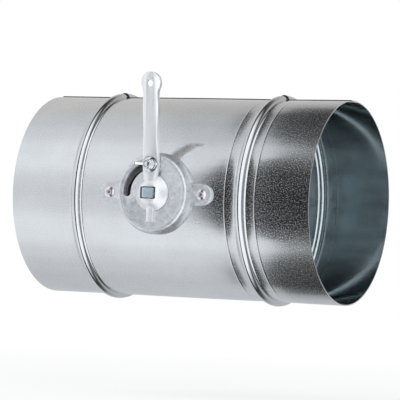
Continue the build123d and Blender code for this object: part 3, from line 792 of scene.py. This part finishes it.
def bead_points(look, middle):
    """Points over a bead: its right foot's hollow, its crown and its left foot's hollow."""
    both = look.crown + look.foot
    turn = math.acos((both - BEAD_HEIGHT) / both)
    half = bead_half(look)
    base = TUBE_RADIUS - look.waist
    top = base + BEAD_HEIGHT - look.crown
    foot = []
    for i in range(1, BEAD_STEPS):
        a = turn * i / BEAD_STEPS
        foot.append((half - look.foot * math.sin(a), base + look.foot * (1 - math.cos(a)), math.sin(a),
                     math.cos(a)))
    crown = []
    for i in range(2 * BEAD_STEPS + 1):
        a = turn * (1 - i / BEAD_STEPS)
        shine = CROWN_SHINE - (CROWN_SHINE - FLANK_SHINE) * abs(a) / turn
        crown.append((middle + look.crown * math.sin(a), top + look.crown * math.cos(a), math.sin(a),
                      math.cos(a), shine))
    right = [(middle + x, r, nx, nr, FOOT_SHINE) for x, r, nx, nr in foot]
    left = [(middle - x, r, -nx, nr, FOOT_SHINE) for x, r, nx, nr in reversed(foot)]
    return right + crown + left


def tube_path(look):
    """Section of the tube's outside as (x, radius, normal x, normal r, shine), right end to left."""
    right, left = bead_middles(look)
    half = bead_half(look)
    points = straight_points(look, 0.0, right + half) + bead_points(look, right)
    points += straight_points(look, right - half, left + half) + bead_points(look, left)
    points += straight_points(look, left - half, -TUBE_LENGTH)
    return np.array(points)


def tube_round(look):
    """The way round from the overlap's free edge back to it: angles, rise of the outside, and thickness."""
    reach = look.lap_reach / TUBE_RADIUS
    lip = LIP_SHARE * reach
    start = math.pi / 2 - look.lap_lead / TUBE_RADIUS
    end = start + look.lap / TUBE_RADIUS
    over = np.linspace(0, 1, LAP_COLUMNS)
    plain = np.linspace(end, start - reach - lip + FULL_TURN, look.turns)[1:]
    dip = np.array(DIP_STOPS)
    groove = start - reach * (1 - dip) - lip + FULL_TURN
    angles = np.concatenate([start + (end - start) * over, plain, groove])
    rise = np.concatenate([look.lap_step * (1 - over) ** 2, np.zeros(len(plain)), -look.lap_dip * dip])
    thick = np.full(len(angles), look.wall)
    thick[:LAP_COLUMNS] = 2 * look.wall - look.lap_step + look.leaf_gap + rise[:LAP_COLUMNS]
    return angles, rise, thick


def skin_points(path, angles, offset):
    """Points of one skin of the wall, set off from the path by a distance for each angle, with flat ends."""
    x = path[None, :, 0] + path[None, :, 2] * offset[:, None]
    r = path[None, :, 1] + path[None, :, 3] * offset[:, None]
    x[:, 0] = path[0, 0]
    x[:, -1] = path[-1, 0]
    turned = angles[:, None]
    return np.stack([x, -r * np.cos(turned), r * np.sin(turned)], axis=2).reshape(-1, 3)


def wall_faces(columns, rows):
    """Faces of the closed wall, with the finish of each: outside, inside, then the two rims."""
    i, j = np.meshgrid(np.arange(columns), np.arange(rows - 1), indexing="ij")
    i, j = i.ravel(), j.ravel()
    k = (i + 1) % columns
    outside = np.stack([k * rows + j, k * rows + j + 1, i * rows + j + 1, i * rows + j], axis=1)
    base = columns * rows
    inside = outside[:, ::-1] + base
    a = np.arange(columns) * rows
    b = np.roll(a, -1)
    left = np.stack([a, b, base + b, base + a], axis=1) + rows - 1
    right = left[:, ::-1] - (rows - 1)
    faces = np.concatenate([outside, inside, right, left])
    seam = np.where(i >= columns - SHADOW_COLUMNS, SHADOW, OUTSIDE)
    finish = np.concatenate([seam, np.full(len(inside), INSIDE), np.full(2 * columns, RIM)])
    return faces, finish.astype(np.int32)


def write_surface_uv(mesh, path, angles):
    """UVs in metres along the sheet and round it, in which no face reaches back across the tube."""
    arc = np.concatenate([[0], np.cumsum(np.hypot(np.diff(path[:, 0]), np.diff(path[:, 1])))])
    along = np.tile(arc, 2 * len(angles))
    around = np.tile(np.repeat(angles * TUBE_RADIUS, len(path)), 2)
    loops = np.zeros(len(mesh.loops), dtype=np.int32)
    mesh.loops.foreach_get("vertex_index", loops)
    uv = np.stack([along[loops], around[loops]], axis=1).reshape(-1, 4, 2)
    half_round = math.pi * TUBE_RADIUS
    low = uv[:, :, 1] < uv[:, :, 1].max(axis=1, keepdims=True) - half_round
    uv[:, :, 1] += np.where(low, 2 * half_round, 0)
    layer = mesh.uv_layers.new(name="surface")
    layer.data.foreach_set("uv", uv.ravel())


def tube_mesh(look):
    """The whole wall as one closed mesh, with the lap's step, UVs in metres and the rollers' shine."""
    path = tube_path(look)
    angles, rise, thick = tube_round(look)
    points = np.concatenate([skin_points(path, angles, offset) for offset in (rise, rise - thick)])
    faces, finish = wall_faces(len(angles), len(path))
    mesh = bpy.data.meshes.new("tube_wall")
    mesh.from_pydata(points.tolist(), [], faces.tolist())
    mesh.update()
    write_surface_uv(mesh, path, angles)
    mask = mesh.attributes.new("burnish", "FLOAT", "POINT")
    mask.data.foreach_set("value", np.tile(path[:, 4], 2 * len(angles)).astype(np.float32))
    mesh.polygons.foreach_set("material_index", finish)
    return mesh


# The stage

def context_object(label):
    made = bpy.context.object
    made.name = label
    return made


def build_floor(look):
    """A wide pale floor that keeps the damper's shadow and fades to white away from it."""
    bpy.ops.mesh.primitive_plane_add(size=FLOOR_SIZE, location=(SHAFT.x, 0, TUBE_LOW[2] - look.floor_drop))
    floor = context_object("stage_floor")
    n = material_nodes("stage_white")
    diffuse = n.add("ShaderNodeBsdfDiffuse", Color=opaque(FLOOR_GREY)).outputs[0]
    glow = n.add("ShaderNodeEmission", Color=opaque(WHITE), Strength=1.0).outputs[0]
    away = n.vector_math("DISTANCE", n.add("ShaderNodeTexCoord").outputs["Object"], (0.0, 0.0, 0.0))["Value"]
    white = n.ramp(away, FLOOR_NEAR * look.floor_reach, look.floor_reach, FLOOR_WHITE, 1.0)
    seen = n.times(n.add("ShaderNodeLightPath").outputs["Is Camera Ray"], white)
    mix = n.add("ShaderNodeMixShader")
    for key, item in (("0", seen), ("1", diffuse), ("2", glow)):
        n.feed(mix, key, item)
    show(n, mix.outputs[0])
    floor.data.materials.append(bpy.data.materials["stage_white"])
    floor.visible_glossy = False


def paint_tent(n, look):
    """Colour and level of the tent: a pale wall, a dark flag, a bright bank and the room past it."""
    x, y, z = n.add("ShaderNodeSeparateXYZ", Vector=n.add("ShaderNodeTexCoord").outputs["Object"]).outputs
    turn = n.math("ARCTAN2", n.math("ABSOLUTE", z), n.times(y, -1.0))
    half_turn = n.math("DIVIDE", turn, math.pi)

    def round_ramp(span):
        return n.ramp(turn, *(math.radians(degrees) for degrees in span))

    wall = n.times(n.bands(half_turn, WALL_BANDS), look.wall_level)
    for rise, along, share in WALL_STRETCHES:
        stretch = n.times(n.ramp(z, *rise), n.ramp(x, *along))
        wall = n.times(wall, n.ramp(stretch, 0.0, 1.0, 1.0, share))
    flag = n.bands(half_turn, FLAG_BANDS)
    edge = n.ramp(n.bands(half_turn, EDGE_BANDS), 0.0, 1.0, look.flag_edge, look.flag_edge + look.edge_travel)
    blur = n.ramp(n.bands(half_turn, BLUR_BANDS), 0.0, 1.0, *BLUR_SPAN)
    into = n.math("DIVIDE", n.math("SUBTRACT", x, edge), blur, clamp=True)
    level = n.blend(into, wall, flag)
    bank = n.times(n.ramp(x, *BANK_START), n.ramp(x, *BANK_END))
    level = n.blend(n.times(bank, round_ramp(BANK_ROUND)), level, look.bank_level)
    level = n.blend(n.times(n.ramp(x, *ROOM_START), round_ramp(ROOM_ROUND)), level, look.room_level)
    top = n.times(round_ramp(CEILING_ROUND), n.ramp(z, *CEILING_RISE))
    return n.tint(top, tuple(look.wall), tuple(look.ceiling)), level


def build_tent(look):
    """A wide round tent about the duct that only reflections see, painted as a studio."""
    bpy.ops.mesh.primitive_cylinder_add(vertices=96, radius=look.tent, depth=6.0, location=(SHAFT.x, 0, 0),
                                        rotation=(0, math.pi / 2, 0))
    tent = context_object("stage_tent")
    bpy.ops.object.transform_apply(location=True, rotation=True, scale=True)
    n = material_nodes("tent_paint")
    colour, level = paint_tent(n, look)
    show(n, n.add("ShaderNodeEmission", Color=colour, Strength=level).outputs[0])
    tent.data.materials.append(bpy.data.materials["tent_paint"])
    tent.visible_camera = False
    tent.visible_shadow = False
    tent.visible_diffuse = False


def build_lamps():
    """Two soft lamps for what isn't metal and for the floor's shadow."""
    middle = Vector((SHAFT.x, 0, 0))
    for label, place, size, power in LAMPS:
        lamp = bpy.data.lights.new(label, "AREA")
        lamp.size = size
        lamp.energy = power
        made = new_object(label, lamp)
        made.location = Vector(place) + middle
        made.rotation_euler = (middle - made.location).to_track_quat("-Z", "Y").to_euler()
        made.visible_glossy = False


def build_world():
    """White for the camera, and a soft grey light for everything else."""
    world = bpy.data.worlds.new("studio")
    bpy.context.scene.world = world
    world.use_nodes = True
    n = Nodes(world.node_tree)
    seen = n.add("ShaderNodeLightPath").outputs["Is Camera Ray"]
    n.feed(world.node_tree.nodes["Background"], "Color", n.tint(seen, ROOM_LIGHT, WHITE))


def build_camera(look):
    """The camera stands where the photograph's did, fitted to the tube's outline."""
    yaw, pitch, roll = (math.radians(a) for a in CAMERA_TURNS)
    ahead = Vector((-math.sin(yaw) * math.cos(pitch), math.cos(yaw) * math.cos(pitch), -math.sin(pitch)))
    level = Vector((math.cos(yaw), math.sin(yaw), 0))
    down = ahead.cross(level)
    right = math.cos(roll) * level + math.sin(roll) * down
    up = math.sin(roll) * level - math.cos(roll) * down
    turn = Matrix.Rotation(look.roll_about_duct, 3, "X")
    data = bpy.data.cameras.new("photo_camera")
    data.sensor_width = 36.0
    data.lens = look.focal
    data.clip_end = 50.0
    camera = new_object("photo_camera", data)
    matrix = Matrix([turn @ axis for axis in (right, up, -ahead)]).transposed().to_4x4()
    matrix.translation = turn @ (Vector(CAMERA_PLACE) * TUBE_RADIUS)
    camera.matrix_world = matrix
    bpy.context.scene.camera = camera


# Operators

class DAMPER_OT_materials(bpy.types.Operator):
    """Build the shader groups and every finish"""
    bl_idname = "damper.materials"
    bl_label = "Finishes"

    def execute(self, context):
        handle = context.scene.damper_handle
        build_grain_group()
        build_scratch_group()
        sheet_finishes(context.scene.damper_tube)
        cast_finishes(handle)
        small_part_finishes(handle)
        for name, node in frame["nodes"].items():
            finish = "broken_steel" if name.startswith("rivet_stem") else SLOT_FINISHES[slot_of(name)]
            node.data.materials.clear()
            node.data.materials.append(bpy.data.materials[finish])
        return {"FINISHED"}


class DAMPER_OT_tube(bpy.types.Operator):
    """Build the beaded tube with its lap seam"""
    bl_idname = "damper.tube"
    bl_label = "Tube"

    def execute(self, context):
        mesh = tube_mesh(context.scene.damper_tube)
        for name in TUBE_FINISHES:
            mesh.materials.append(bpy.data.materials[name])
        smooth(mesh, SHEET_ANGLE)
        tube = new_object("tube_wall", mesh)
        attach(tube, "duct")
        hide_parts("duct_shell")
        return {"FINISHED"}


class DAMPER_OT_handle(bpy.types.Operator):
    """Dress the dial, lever and clamp"""
    bl_idname = "damper.handle"
    bl_label = "Handle"

    def execute(self, context):
        edge = context.scene.damper_handle.edge
        thin_edge = 0.6 * edge
        skin_of("dial_plate", "dial_casting", edge, "cast_dial")
        skin_of("lever", "lever_casting", edge, "cast_lever")
        skin_of("wing_nut", "wing_nut_forging", edge, "bright_plating")
        skin_of("clamp_washer", "washer_ring", thin_edge, "bright_plating")
        skin_of("blade_shaft", "shaft_bar", edge, "blue_plating")
        skin_of("clamp_bolt", "bolt_shank", thin_edge, "bright_plating")
        return {"FINISHED"}


class DAMPER_OT_marks(bpy.types.Operator):
    """Raise the dial's numerals, the blade's rivets and the setting marks on the dial's rivets"""
    bl_idname = "damper.marks"
    bl_label = "Marks and rivets"

    def execute(self, context):
        look = context.scene.damper_handle
        dial_numerals(look)
        blade_rivets(look)
        rivet_setting_marks(look)
        return {"FINISHED"}


class DAMPER_OT_stage(bpy.types.Operator):
    """Set the floor, tent, lights, world and camera"""
    bl_idname = "damper.stage"
    bl_label = "Stage"

    def execute(self, context):
        look = context.scene.damper_stage
        build_floor(look)
        build_tent(look)
        build_lamps()
        build_world()
        build_camera(look)
        context.scene.view_settings.view_transform = "Standard"
        return {"FINISHED"}


class DAMPER_PT_panel(bpy.types.Panel):
    """Lists the damper's steps and sizes"""
    bl_idname = "DAMPER_PT_panel"
    bl_label = "Round air damper"
    bl_space_type = "VIEW_3D"
    bl_region_type = "UI"
    bl_category = "Damper"

    def draw(self, context):
        for step in STEPS:
            self.layout.operator(step.bl_idname)
        for group in LOOKS:
            look = getattr(context.scene, group)
            for key in look.__annotations__:
                self.layout.prop(look, key)


STEPS = (DAMPER_OT_materials, DAMPER_OT_tube, DAMPER_OT_handle, DAMPER_OT_marks, DAMPER_OT_stage)
LOOKS = {"damper_tube": TubeLook, "damper_handle": HandleLook, "damper_stage": StageLook}


def register():
    for cls in (*LOOKS.values(), *STEPS, DAMPER_PT_panel):
        bpy.utils.register_class(cls)
    for key, cls in LOOKS.items():
        setattr(bpy.types.Scene, key, bpy.props.PointerProperty(type=cls))


def unregister():
    for key in LOOKS:
        delattr(bpy.types.Scene, key)
    for cls in (DAMPER_PT_panel, *reversed(STEPS), *LOOKS.values()):
        bpy.utils.unregister_class(cls)


def main():
    register()
    for step in STEPS:
        area, name = step.bl_idname.split(".")
        getattr(getattr(bpy.ops, area), name)()


if __name__ == "__main__":
    main()
